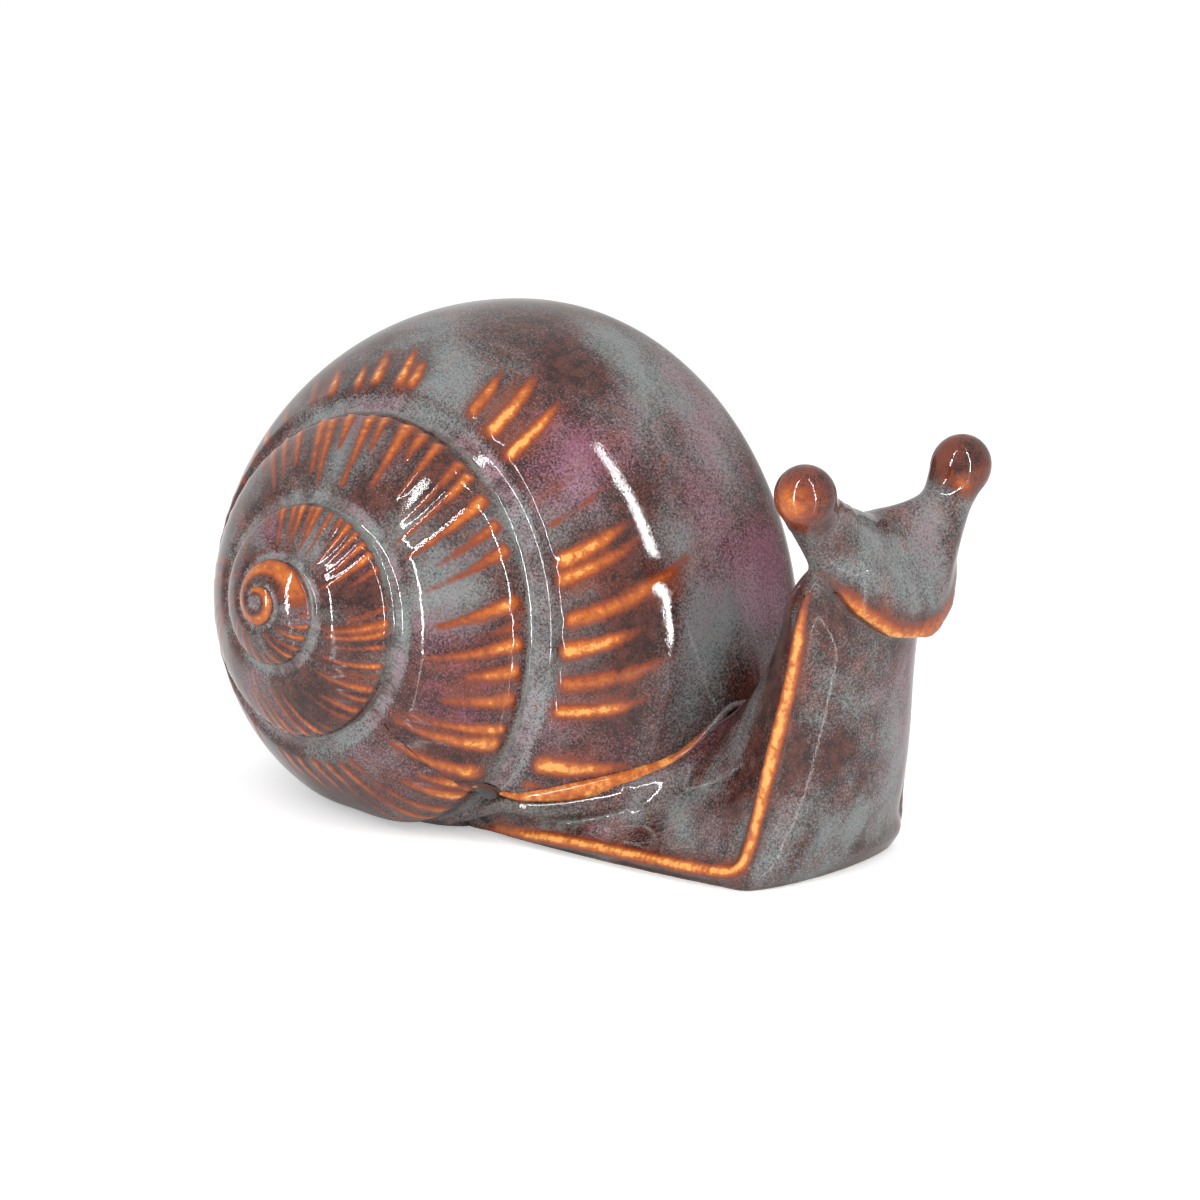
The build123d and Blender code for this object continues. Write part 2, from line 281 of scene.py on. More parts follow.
def wind(first, last, rows, whorl, has_rim):
    columns = round((last - first) * TURN_STEPS)
    strip = bmesh.ops.create_grid(clay, x_segments=columns, y_segments=rows, size=1)["verts"]
    flat = np.array([v.co for v in strip])
    turn = first + (last - first) * (flat[:, 0] + 1) / 2
    share = np.clip((flat[:, 1] + 1) / 2, 0, 1)
    place, *marks, across = carve(turn, share, whorl, has_rim)
    count = rib_count(turn, across, has_rim)
    spread = {}
    for k, v in enumerate(strip):
        v.co = place[k]
        for layer, values in zip(layers, marks):
            v[layer] = values[k]
        spread[v] = (count[k], across[k] * 1000)
    for face in {f for v in strip for f in v.link_faces}:
        for loop in face.loops:
            loop[growth].uv = spread[loop.vert]


def tree_of(line):
    tree = KDTree(len(line))
    for k, spot in enumerate(line):
        tree.insert(spot, k)
    tree.balance()
    return tree


wind(WHORLS - 1 - SPIRE_TURNS, WHORLS - 1, SPIRE_ROWS, spire_whorl, 1)
spire_edges = set(clay.edges)
wind(WHORLS - 1, WHORLS, UPPER_ROWS + LOWER_ROWS, body_whorl, 0)
step_edges = []
rows = np.linspace(0, 1, UPPER_ROWS + LOWER_ROWS + 1)
for turn in (WHORLS - 1, WHORLS):
    column = tree_of(carve(np.full(len(rows), turn), rows, body_whorl, 0)[0])
    step_edges += [
        e for e in clay.edges if e not in spire_edges and e.is_boundary
        and all(column.find(v.co)[2] < 1e-6 for v in e.verts)]
for e in step_edges:
    e.smooth = False
step_wall = bmesh.ops.bridge_loops(clay, edges=step_edges)["faces"]
for face in step_wall:
    for loop in face.loops:
        loop[growth].uv = (loop.vert.co.y * 500, loop.vert.co.z * 1000)
bmesh.ops.remove_doubles(clay, verts=clay.verts, dist=.00002)


def faces_where(bm, test):
    return [f for f in bm.faces if test(f.calc_center_median())]


def cut(bm, faces, point, normal):
    """Adds a line of edges across those faces, where a plane meets them."""
    geom = {g for f in faces for g in [f, *f.edges, *f.verts]}
    bmesh.ops.bisect_plane(bm, geom=list(geom), dist=1e-7, plane_co=point, plane_no=normal)


front = faces_where(clay, lambda middle: middle.x > TAIL_X - .003 and middle.z < MOUTH_TOP_Z)
cut(clay, front, (TAIL_X, 0, 0), (1, 0, 0))
for v in clay.verts:
    v.co.z -= lip_sway(v.co.x)
for side in (-1, 1):
    half = faces_where(
        clay, lambda middle: middle.x > TAIL_X and middle.y * side > -.001 and middle.z < MOUTH_TOP_Z)
    cut(clay, half, (0, 0, MOUTH_Z), (-MOUTH_RISE_X, side * MOUTH_RISE_Y, 1))
for v in clay.verts:
    v.co.z += lip_sway(v.co.x)
middles = np.array([f.calc_center_median() for f in clay.faces])
in_mouth = (above_mouth(middles) < 0) & (middles[:, 0] > TAIL_X)
bmesh.ops.delete(clay, geom=[f for f, gone in zip(clay.faces[:], in_mouth) if gone], context="FACES")
mouth_edges = [e for e in clay.edges if e.is_boundary and (e.verts[0].co - APEX).length > .006]
lip_wall = bmesh.ops.extrude_edge_only(clay, edges=mouth_edges)["geom"]
heart = Vector((-.022, 0, .030))
for v in [g for g in lip_wall if isinstance(g, bmesh.types.BMVert)]:
    v.co += (heart - v.co).normalized() * LIP_T
bmesh.ops.holes_fill(clay, edges=[e for e in clay.edges if e.is_boundary], sides=0)
bmesh.ops.recalc_face_normals(clay, faces=clay.faces)


def soften(points, rounds):
    for _ in range(rounds):
        inner = [(a + b * 2 + c) / 4 for a, b, c in zip(points, points[1:], points[2:])]
        points = [points[0], *inner, points[-1]]
    return points


def roll(bm, points, radii):
    """Lays a roll of clay along those points, as thick at each one as its radius says."""
    curve = bpy.data.curves.new("roll", "CURVE")
    curve.dimensions = "3D"
    curve.bevel_depth = 1
    curve.bevel_resolution = 5
    curve.use_fill_caps = True
    line = curve.splines.new("POLY")
    line.points.add(len(points) - 1)
    for point, spot, radius in zip(line.points, points, radii):
        point.co = (*spot, 1)
        point.radius = radius
    shape = bpy.data.objects.new("roll", curve)
    bpy.context.collection.objects.link(shape)
    mesh = bpy.data.meshes.new_from_object(shape.evaluated_get(bpy.context.evaluated_depsgraph_get()))
    bpy.data.objects.remove(shape)
    old = set(bm.verts)
    bm.from_mesh(mesh)
    return [v for v in bm.verts if v not in old]


right_lip = []
left_lip = []
for turn in np.linspace(WHORLS - .003, WHORLS - LIP_TURN, 90):
    place = carve(np.full(600, turn), np.linspace(0, 1, 600), body_whorl, 0)[0]
    crossings = np.nonzero(np.diff(np.sign(above_mouth(place))) != 0)[0]
    if len(crossings) >= 2:
        right_lip.append(Vector(place[crossings[0]]))
        left_lip.insert(0, Vector(place[crossings[-1]]))
lip_run = soften(right_lip + left_lip, 12)
bead = []
for spot in lip_run:
    outward = (spot - heart).normalized()
    bead.append(spot + outward * LIP_R * .1 + Vector((0, 0, LIP_R * .35)))
bead = [p for p in bead if p.x > LIP_START_X]
for end, after in ((0, 6), (-1, -7)):
    tip = bead[end] + (bead[end] - bead[after]).normalized() * LIP_TIP_L
    bead.insert(0 if end == 0 else len(bead), tip)
along = np.array([p.x for p in bead])
swell = (.14 + .86 * fade(-.0155, -.002, along)) * (1 - .6 * fade(.0066, .0092, along))
swell[[0, -1]] = .1
swell[[1, -2]] = .16
old_faces = set(clay.faces)
for v in roll(clay, bead, swell * LIP_R):
    v[layers[0]] = RIB_H * .66 * float(1 - fade(.0062, .0086, v.co.x))
for face in [f for f in clay.faces if f not in old_faces]:
    for loop in face.loops:
        loop[growth].uv = (loop.vert.co.x * 300, loop.vert.co.z * 1000)


def spread_out(mesh, values, rounds):
    """Values at the mesh's points, each averaged with its neighbours that many times."""
    ends = np.empty(len(mesh.edges) * 2, int)
    mesh.edges.foreach_get("vertices", ends)
    one, two = ends[::2], ends[1::2]
    count = len(mesh.vertices)
    links = np.maximum(np.bincount(one, minlength=count) + np.bincount(two, minlength=count), 1)
    values = values.copy()
    for _ in range(rounds):
        for axis in range(values.shape[1]):
            column = values[:, axis]
            total = np.bincount(one, column[two], count) + np.bincount(two, column[one], count)
            values[:, axis] = (column + total / links) / 2
    return values


def places_and_normals(mesh):
    places = np.empty(len(mesh.vertices) * 3)
    mesh.vertices.foreach_get("co", places)
    normals = np.empty(len(mesh.vertices) * 3)
    mesh.vertex_normals.foreach_get("vector", normals)
    return places.reshape(-1, 3), normals.reshape(-1, 3)


def mark(mesh, name, values):
    mesh.attributes.new(name, "FLOAT", "POINT").data.foreach_set("value", values)


def mark_edges(mesh, rounds, raised, raised_top):
    """Marks where the glaze runs thin, how near that is, where it pools, and what stays bare below."""
    places, normals = places_and_normals(mesh)
    proud = ((places - spread_out(mesh, places, rounds)) * normals).sum(axis=1) * 1000
    edge = np.clip(raised / raised_top, 0, 1)
    mark(mesh, "proud", np.clip(proud, 0, .4))
    mark(mesh, "pooled", np.clip(-proud, 0, .4))
    mark(mesh, "edge", edge)
    mark(mesh, "near_edge", spread_out(mesh, edge[:, None], 60)[:, 0])
    mark(mesh, "bare", ((places[:, 2] < .00012) & (normals[:, 2] < -.8)).astype(float))


def piece(name, bm):
    mesh = bpy.data.meshes.new(name)
    bm.to_mesh(mesh)
    bm.free()
    mesh.shade_smooth()
    made = bpy.data.objects.new(name, mesh)
    bpy.context.collection.objects.link(made)
    return made


class Glaze:
    """A value or colour in a glaze's nodes. Arithmetic on values adds Math nodes."""

    def __init__(self, tree, socket):
        self.tree = tree
        self.socket = socket

    def add(self, kind, settings, inputs, output=0):
        node = self.tree.nodes.new(kind)
        for name, value in settings.items():
            setattr(node, name, value)
        for name, value in inputs.items():
            if isinstance(value, Glaze):
                self.tree.links.new(value.socket, node.inputs[name])
            else:
                node.inputs[name].default_value = value
        return Glaze(self.tree, node.outputs[output])

    def math(self, operation, first, second):
        return self.add("ShaderNodeMath", {"operation": operation}, {0: first, 1: second})

    def __add__(self, other):
        return self.math("ADD", self, other)

    def __radd__(self, other):
        return self.math("ADD", other, self)

    def __sub__(self, other):
        return self.math("SUBTRACT", self, other)

    def __rsub__(self, other):
        return self.math("SUBTRACT", other, self)

    def __mul__(self, other):
        return self.math("MULTIPLY", self, other)

    def __rmul__(self, other):
        return self.math("MULTIPLY", other, self)

    def __truediv__(self, other):
        return self.math("DIVIDE", self, other)

    def between(self, low, high):
        return self.add(
            "ShaderNodeMapRange", {"interpolation_type": "SMOOTHSTEP"},
            {"Value": self, "From Min": low, "From Max": high})

    def over(self, below, colour):
        """A colour laid over another one, where this mask is 1."""
        return self.add("ShaderNodeMix", {"data_type": "RGBA"}, {0: self, 6: below, 7: colour}, 2)

    def noise(self, place, scale, detail, rough=.5):
        return self.add(
            "ShaderNodeTexNoise", {},
            {"Vector": place, "Scale": scale, "Detail": detail, "Roughness": rough})


def paint(red, green, blue):
    """A colour as a paint chart gives it, 0 to 255, made linear."""
    line = [(c / 255 / 12.92) if c <= 10 else ((c / 255 + .055) / 1.055) ** 2.4 for c in (red, green, blue)]
    return (*line, 1)


DARK_BROWN = paint(40, 21, 19)
BROWN = paint(80, 43, 36)
RUST = paint(116, 52, 29)
AMBER = paint(164, 84, 30)
HONEY = paint(216, 148, 76)
ASH = paint(122, 130, 130)
MOSS = paint(98, 104, 100)
PLUM = paint(122, 68, 90)
MAUVE = paint(140, 112, 122)
BARE_CLAY = paint(196, 178, 152)
GLAZE_IOR = 1.52


def glaze(name, streaked, edge_gain, proud_gain, plum_spots, ash_spots):
    """A running stoneware glaze: amber where it is thin, brown on the flats, grey and plum where it pools."""
    material = bpy.data.materials.new(name)
    material.use_nodes = True
    tree = material.node_tree
    shader = tree.nodes["Principled BSDF"]
    start = Glaze(tree, None)
    place = start.add("ShaderNodeTexCoord", {}, {}, "Object")
    marks = {
        name: start.add("ShaderNodeAttribute", {"attribute_name": name}, {}, "Fac")
        for name in ("proud", "pooled", "edge", "near_edge", "bare", "valley", "rim", "brown")}
    if streaked:
        lie = start.add("ShaderNodeUVMap", {"uv_map": "growth"}, {})
        shapes = ((.17, .06, 0), (.20, .05, 0), (.75, .07, 0))
    else:
        lie = place
        shapes = ((100, 100, 70), (62, 62, 50), (210, 210, 110))
    fields = []
    for k, shape in enumerate(shapes):
        spread = start.add("ShaderNodeVectorMath", {"operation": "MULTIPLY"}, {0: lie, 1: shape})
        apart = (31 * k, 17 * k, 5 * k)
        moved = start.add("ShaderNodeVectorMath", {"operation": "ADD"}, {0: spread, 1: apart})
        fields.append(start.noise(moved, 1, 3, .55))
    patch, tint, streak = fields
    blotch = start.noise(place, 520, 3, .6)
    speck = start.noise(place, 3000, 2, .6)
    grain = start.noise(place, 6400, 1, .5)
    grainy = (speck - .5) * 6 + (grain - .5) * 4
    fleck = start.noise(place, 1100, 3, .65)

    def bloom(spots):
        total = 0 * patch
        for point, reach in spots:
            away = start.add("ShaderNodeVectorMath", {"operation": "DISTANCE"}, {0: place, 1: point}, "Value")
            total = total + (1 - (away / reach).between(.2, 1.3))
        return total

    plum = bloom(plum_spots)
    ash = bloom(ash_spots)
    quiet = (1 - marks["near_edge"].between(.02, .20) * .7) * (1 - marks["brown"])
    thin = marks["edge"] * edge_gain * (1.4 * fleck + 1.5 * blotch - .42)
    thin = thin + marks["proud"] * proud_gain + .10 * (streak - .5)
    ash_mask = (patch - .54) * 6 + ash * .8 - plum * .4 + grainy * .42
    ash_mask = ash_mask.between(-.7, 1.3) * quiet * (.74 + grainy * .12)
    plum_mask = ((tint - .60) * 7 + plum * 1.1 + grainy * .5).between(.0, 1.5) * (.74 + grainy * .1)
    rust_mask = (streak - .55) * 6 + marks["near_edge"] * 3 + marks["brown"] * .5 + grainy * .25
    rust_mask = rust_mask.between(.0, 1.3) * .65
    uneven = .22 + .78 * (tint + (streak - .5) * .5 + (blotch - .5) * .2).between(.40, .58)
    pool_mask = (marks["pooled"] * 5 + grainy * .2).between(.15, .9) * .75 * uneven
    valley_mask = (marks["valley"] + grainy * .3).between(.4, 1.2) * uneven * (.84 + grainy * .12)
    rim_mask = (marks["rim"] + grainy * .3).between(.45, 1.25) * uneven * (.72 + grainy * .12)
    colour = (blotch + grainy * .08).between(.3, .7).over(DARK_BROWN, BROWN)
    colour = rust_mask.over(colour, RUST)
    colour = plum_mask.over(colour, PLUM)
    colour = ash_mask.over(colour, (tint + plum * .15 + grainy * .03).between(.46, .70).over(ASH, MAUVE))
    colour = pool_mask.over(colour, MOSS)
    colour = rim_mask.over(colour, MOSS)
    colour = valley_mask.over(colour, (patch + grainy * .05).between(.40, .62).over(MAUVE, ASH))
    colour = (thin + grainy * .03).between(.06, .32).over(colour, RUST)
    colour = (thin + grainy * .05).between(.26, .72).over(colour, AMBER)
    colour = (thin + grainy * .05).between(.68, 1.12).over(colour, HONEY)
    colour = marks["bare"].over(colour, BARE_CLAY)
    tree.links.new(colour.socket, shader.inputs["Base Color"])
    rough = .015 + .04 * speck + .5 * marks["bare"]
    tree.links.new(rough.socket, shader.inputs["Roughness"])
    shader.inputs["IOR"].default_value = GLAZE_IOR
    skin = blotch * .2 + fleck * .1 + speck * .12 + grain * .07
    bump = start.add("ShaderNodeBump", {}, {"Strength": .16, "Distance": .0003, "Height": skin}, "Normal")
    tree.links.new(bump.socket, shader.inputs["Normal"])
    return material


PLUM_SPOTS = [((-.0055, -.0105, .0505), .011), ((.0022, -.0113, .0365), .008), ((.0084, .0089, .0377), .008)]
ASH_SPOTS = [
    ((.0064, -.0021, .0380), .010), ((.0094, .0006, .0299), .009), ((-.0025, .0040, .0547), .013),
    ((-.0141, .0071, .0635), .012), ((-.0174, -.0270, .0425), .008), ((-.0146, -.0277, .0359), .007)]
shell = piece("shell_whorls", clay)
heights = np.empty(len(shell.data.vertices))
shell.data.attributes["carved"].data.foreach_get("value", heights)
mark_edges(shell.data, 10, heights, RIB_H)
shell.data.materials.append(glaze("shell_glaze", True, 1.05, .25, PLUM_SPOTS, ASH_SPOTS))
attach(shell, "root")
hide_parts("shell")

# Foot, head, eye stalks and mantle collar: the snail's soft body, modelled by hand from rolls and
# slabs of the same clay. The neck rises out of the foot, the shield of the face and the two stalks
# are luted on at the top, and a roll of mantle is pushed in under the shell's lip.
SOLE_FRONT_X = .024
NECK_LEAN = .0115
SOLE_HALF_W = .01575
WAIST_Z = .033
WAIST_HALF_W = .0117
BODY_LEVELS = [
    (0, 0, SOLE_HALF_W - .0004, .0034, .080, -.9),
    (.0026, .06, SOLE_HALF_W + .0006, .0050, .085, -.9),
    (.16 * WAIST_Z, .08, .01518, .0055, .056, -.05),
    (.28 * WAIST_Z, .15, .01454, .0062, .040, .35),
    (.42 * WAIST_Z, .23, .01405, .0065, .026, .8),
    (.56 * WAIST_Z, .30, .01352, .0065, .0185, .86),
    (.79 * WAIST_Z, .42, .01231, .0062, .0125, .7),
    (WAIST_Z, .53, WAIST_HALF_W, .0059, .0095, .3),
    (.0405, .72, .0126, .0026, .0078, .2),
    (.0440, .86, .0118, .0010, .0058, .2),
    (.0460, .90, .0085, .0004, .0040, .2)]
CHIN = Vector((.0401, 0, .0337))
FACE_SLOPE = math.radians(21.5)
FACE_T = .0052
FACE_RIM = .0012
FACE_SHIFT = .0016
FACE_BALLS = [
    (-.0018, .0058, .0052), (.0030, .0047, .0049), (.0055, .0063, .0050), (-.0062, .0085, .0046),
    (.0073, .0086, .0048), (-.0086, .0112, .0041), (.0090, .0114, .0043), (-.0098, .0130, .0040),
    (.0100, .0132, .0041), (0, .0146, .0034)]
FACE_SWELL = .0017
JAW_SPREAD = .00425
EYE_D = .0082
STALK_D = .0066
EYES = {"right": Vector((.0355, -.0169, .0552)), "left": Vector((.0349, .0156, .0537))}
COLLAR_R = .00175
TAIL_TIP = Vector((-.0238, -.0182, .0008))
VENT_D = .006
VENT_X = .008
VENT_DEPTH = .005
VOXEL = .00042
HEAD_LOW_Z = .0300
SEAM_NEAR = .024
SEAM_LOW_Z = .028
STALK_REACH = .0085
COLLAR_FRONT_X = .016
COLLAR_REACH = .0021


def level_at(z):
    """The body's level cut at a height, eased from each listed level to the next."""
    table = np.array(BODY_LEVELS)
    heights = table[:, 0]
    k = int(np.clip(np.searchsorted(heights, z) - 1, 0, len(heights) - 2))
    gap = heights[k + 1] - heights[k]
    share = (z - heights[k]) / gap
    slopes = np.gradient(table, heights, axis=0)
    return (
        table[k] * (1 + 2 * share) * (1 - share) ** 2 + slopes[k] * gap * share * (1 - share) ** 2
        + table[k + 1] * share ** 2 * (3 - 2 * share) - slopes[k + 1] * gap * share ** 2 * (1 - share))


def ring_point(z, share):
    _, lean, half_w, belly, depth, pinch = level_at(z)
    ridge_x = SOLE_FRONT_X + NECK_LEAN * lean
    if share < .5:
        reach = belly * 4 / 3
        side = half_w * .75
        ends = [(ridge_x, -half_w), (ridge_x + reach, -side), (ridge_x + reach, side), (ridge_x, half_w)]
        x, y = bezier(ends, share * 2)
    else:
        reach = depth * 4 / 3
        side = half_w * (1 - pinch)
        ends = [(ridge_x, half_w), (ridge_x - reach, side), (ridge_x - reach, -side), (ridge_x, -half_w)]
        x, y = bezier(ends, share * 2 - 1)
    return Vector((x, y, z))


body = bmesh.new()
neck = bmesh.ops.create_grid(body, x_segments=160, y_segments=64, size=1)["verts"]
for v in neck:
    v.co = ring_point((v.co.y + 1) / 2 * BODY_LEVELS[-1][0], (v.co.x + 1) / 2)
bmesh.ops.remove_doubles(body, verts=neck, dist=1e-6)
bmesh.ops.bisect_plane(
    body, geom=body.verts[:] + body.edges[:] + body.faces[:], dist=1e-7,
    plane_co=(TAIL_X, 0, 0), plane_no=(-1, 0, 0), clear_outer=True)
bmesh.ops.holes_fill(body, edges=[e for e in body.edges if e.is_boundary], sides=0)


def ball(bm, middle, radius, turned=Matrix.Identity(3), flat=1, segments=32):
    shape = Matrix.Translation(middle) @ turned.to_4x4() @ Matrix.Diagonal((radius, radius, radius * flat, 1))
    made = bmesh.ops.create_uvsphere(
        bm, u_segments=segments, v_segments=segments * 5 // 8, radius=1, matrix=shape)
    return made["verts"]


def wrap(bm, *balls):
    """Clay pulled tight round a few balls."""
    verts = [v for b in balls for v in b]
    wrapped = bmesh.ops.convex_hull(bm, input=verts)
    left_over = wrapped["geom_interior"] + wrapped["geom_unused"]
    inside = {g for g in left_over if isinstance(g, bmesh.types.BMVert)}
    bmesh.ops.delete(bm, geom=list(inside), context="VERTS")


face_out = Vector((math.cos(FACE_SLOPE), 0, math.sin(FACE_SLOPE)))
face_up = Vector((-math.sin(FACE_SLOPE), 0, math.cos(FACE_SLOPE)))
face_turn = Matrix((Vector((0, 1, 0)), face_up, face_out)).transposed()


def on_face(side, up, out=0):
    return CHIN + Vector((0, side + FACE_SHIFT, 0)) + face_up * up + face_out * out


def face_ball(side, up, radius, out=-FACE_RIM):
    return ball(body, on_face(side, up, out), radius, face_turn, FACE_RIM / radius)


rim_balls = [face_ball(a, b, r) for a, b, r in FACE_BALLS]
back_balls = [face_ball(a * .85, b + .0010, r * .85, FACE_RIM - FACE_T) for a, b, r in FACE_BALLS]
wrap(body, *rim_balls, *back_balls)
stalks = {}
stem = STALK_D / 2
for name, eye in EYES.items():
    side = math.copysign(1, eye.y)
    root = on_face(side * .0103, .0128, -FACE_T / 2)
    out = (eye - root).normalized()
    turned = out.to_track_quat("Z", "Y").to_matrix()
    waist = root.lerp(eye, .50)
    wrap(body, face_ball(side * .0098, .0128, .0041), ball(body, root, .0028), ball(body, waist, stem))
    wrap(body, face_ball(side * .0036, .0147, .0031), ball(body, root.lerp(waist, .95), stem * .78))
    wrap(
        body, ball(body, waist, stem * .85),
        face_ball(side * .0050, .0080, .0034), face_ball(side * .0080, .0105, .0036))
    inner = Vector((0, -side * .0018, 0)) + face_out * .0013
    web = .72 if name == "right" else .55
    wrap(
        body, ball(body, root.lerp(eye, web) + inner, stem * .6),
        ball(body, root.lerp(eye, .3) + inner, stem * .6),
        face_ball(side * .0026, .0150, .0029), face_ball(side * .0060, .0120, .0030))
    wrap(body, ball(body, waist, stem), ball(body, eye - out * .0006, EYE_D / 2 * .95))
    ball(body, eye, EYE_D / 2, turned, 1.06)
    stalks[name] = (root.lerp(eye, .28), out)

collar_run = []
for spot in lip_run:
    inward = (Vector((-.006, 0, spot.z)) - spot).normalized()
    tucked = .0006 - .0028 * float(fade(-.003, .009, spot.x))
    below = .0010 + .0008 * float(fade(-.013, -.005, spot.x))
    collar_run.append(spot + inward * tucked + Vector((0, 0, -below)))
tails = [TAIL_TIP, Vector((TAIL_TIP.x, -TAIL_TIP.y, TAIL_TIP.z))]
to_right = [tails[0].lerp(collar_run[0], share) for share in np.linspace(0, 1, 16)[:-1]]
to_left = [collar_run[-1].lerp(tails[1], share) for share in np.linspace(0, 1, 16)[1:]]
collar_run = soften(to_right + collar_run + to_left, 24)
reach = np.minimum(np.arange(len(collar_run)), np.arange(len(collar_run))[::-1])
fuller = .72 + .85 * fade(-.010, .006, np.array([p.x for p in collar_run]))
roll(body, collar_run, COLLAR_R * (.2 + .8 * fade(0, 14, reach)) * fuller)

RIDGE_Z = .0022
RIDGE_R = .0011
RIDGE_TOP = .0455
HEM_TAIL_Z = .0006
HEM_RISE_L = .022
SKIRT_R = .0010
ridges = []
for side in (-1, 1):
    hem = [ring_point(RIDGE_Z, .75 - side * share) for share in np.linspace(.02, .25, 160)]
    hem = [p for p in hem if p.x > TAIL_X + .0005]
    for p in hem:
        p.z = HEM_TAIL_Z + (RIDGE_Z - HEM_TAIL_Z) * min(1, (p.x - TAIL_X) / HEM_RISE_L)
    rise = [ring_point(z, 0 if side < 0 else .5) for z in np.linspace(RIDGE_Z, RIDGE_TOP, 120)][1:]
    line = soften(hem + rise, 30)
    ridges.append(line)
    thick = [(.35 + .65 * fade(TAIL_X, -.004, p.x)) * (.8 + .2 * fade(.002, .007, p.z)) for p in line]
    thin = [1 - .7 * fade(.032, RIDGE_TOP, p.z) for p in line]
    roll(body, line, [RIDGE_R * a * b for a, b in zip(thick, thin)])
    flank = [p for p in collar_run if p.y * side > 0 and p.x < .008][::6]
    for near, far in zip(flank, flank[1:]):
        backs = []
        for p in (near, far):
            below = min(hem, key=lambda q: abs(q.x - p.x))
            backs += [p + Vector((0, -side * .0024, -.0008)), below + Vector((0, -side * .0016, .0004))]
        wrap(body, *[ball(body, p, SKIRT_R, segments=8) for p in backs])
jaw = [on_face(a, .0009 + (a / JAW_SPREAD) ** 2 / 1000, -FACE_RIM) for a in np.linspace(-.0132, .0132, 81)]
bmesh.ops.recalc_face_normals(body, faces=body.faces)

lump = piece("clay_lump", body)
fuse = lump.modifiers.new("fuse", "REMESH")
fuse.mode = "VOXEL"
fuse.voxel_size = VOXEL
fused = bpy.data.meshes.new_from_object(lump.evaluated_get(bpy.context.evaluated_depsgraph_get()))
bpy.data.objects.remove(lump)
body = bmesh.new()
body.from_mesh(fused)


def face_swell(spot):
    """How far a spot of the face stands out, between the rim of the jaw and the brow."""
    off = spot - on_face(0, 0)
    up = off.dot(face_up)
    if off.dot(face_out) < -FACE_T * .55 or up < 0:
        return 0
    inside = JAW_SPREAD * math.sqrt(up * 1000) - abs(off.y)
    full = fade(.0006, .0050, inside) * fade(.0010, .0062, up) * (1 - fade(.0105, .0180, up))
    return FACE_SWELL * full


collar_tree = tree_of(collar_run)
rolls_tree = tree_of(collar_run + ridges[0] + ridges[1])


def rub(verts, rounds):
    for _ in range(rounds):
        bmesh.ops.smooth_vert(body, verts=verts, factor=.5, use_axis_x=True, use_axis_y=True, use_axis_z=True)


for v in body.verts:
    v.co += face_out * face_swell(v.co)
rub(body.verts, 5)
rub([v for v in body.verts if (v.co - on_face(0, .0100)).length < .0170 and v.co.z < .0520], 9)
flanks = [v for v in body.verts if -.018 < v.co.x < .020 and .003 < v.co.z < .026]
rub([v for v in flanks if rolls_tree.find(v.co)[2] > .0024], 40)
for seat, out in stalks.values():
    rub([v for v in body.verts if (v.co - seat).length < .0068], 26)
for side in (-1, 1):
    rub([v for v in body.verts if (v.co - on_face(side * .0052, .0170, -.001)).length < .0062], 30)
for v in body.verts:
    v.co.z = max(v.co.z, 0)
    away = math.hypot(v.co.x - VENT_X, v.co.y)
    if v.co.z < .0003:
        v.co.z += VENT_DEPTH * (1 - fade(VENT_D / 2 - .0004, VENT_D / 2 + .0002, away))
body.to_mesh(fused)
fused.shade_smooth()
raised = np.zeros(len(fused.vertices))
brown = np.zeros(len(fused.vertices))


def how_near(line, width, start_width=1, end_width=1):
    """For each point of the body, how near a line it is, 1 on the line, and how far along that line."""
    tree = tree_of(line)
    found = [tree.find(v.co) for v in fused.vertices]
    off = np.array([f[2] for f in found])
    along = np.array([f[1] for f in found]) / (len(line) - 1)
    widths = np.interp(along, [0, .45, .58, .95], [start_width, start_width, 1, end_width])
    return np.exp(-(off / width / widths) ** 2), along


crests = []
for side, line in zip((-1, 1), ridges):
    crest = []
    for p in line:
        upright = float(fade(.002, .006, p.z))
        lean = Vector((0, side * .75, .65)).lerp(Vector((.45, side * .9, 0)), upright).normalized()
        crest.append(p + lean * RIDGE_R * (.65 + .3 * upright))
    crests.append(crest)
for line, width, weight, start_fade, end_fade in (
        (crests[0], .0010, .84, .1, .14), (crests[1], .0010, .84, .1, .14), (jaw, .0014, .74, .16, .42)):
    near, along = how_near(line, width, 1 if line is jaw else .75, .75)
    ends = fade(0, start_fade, along) * fade(0, end_fade, 1 - along)
    raised = np.maximum(raised, weight * (.12 + .88 * ends) * near)
    brown = np.maximum(brown, .8 * near)
grey = np.clip(1.2 * how_near(collar_run, .0026)[0], 0, 1)
EYE_SPOTS = {"right": (Vector((.19, -.88, -.05)), .0026), "left": (Vector((.55, -.61, -.35)), .0011)}
places, _ = places_and_normals(fused)
for name, eye in EYES.items():
    toward_spot, spot_r = EYE_SPOTS[name]
    spot = eye + toward_spot.normalized() * EYE_D / 2
    on_eye = 1 - fade(EYE_D * .50, EYE_D * .72, np.linalg.norm(places - np.array(eye), axis=1))
    warm = .04 + .56 * np.exp(-(np.linalg.norm(places - np.array(spot), axis=1) / spot_r) ** 2)
    raised = np.maximum(raised, on_eye * warm)
    brown = np.maximum(brown, on_eye)
mark(fused, "brown", brown)
mark(fused, "rim", grey)
mark_edges(fused, 14, raised, 1)
_, clay_normals = places_and_normals(fused)
fused.attributes.new("lie", "FLOAT_VECTOR", "POINT").data.foreach_set("vector", clay_normals.ravel())

seat_cuts = {"head": (CHIN - face_out * FACE_T, face_out)}
for name, (seat, out) in stalks.items():
    seat_cuts[name + "_eye_stalk"] = (seat, out)


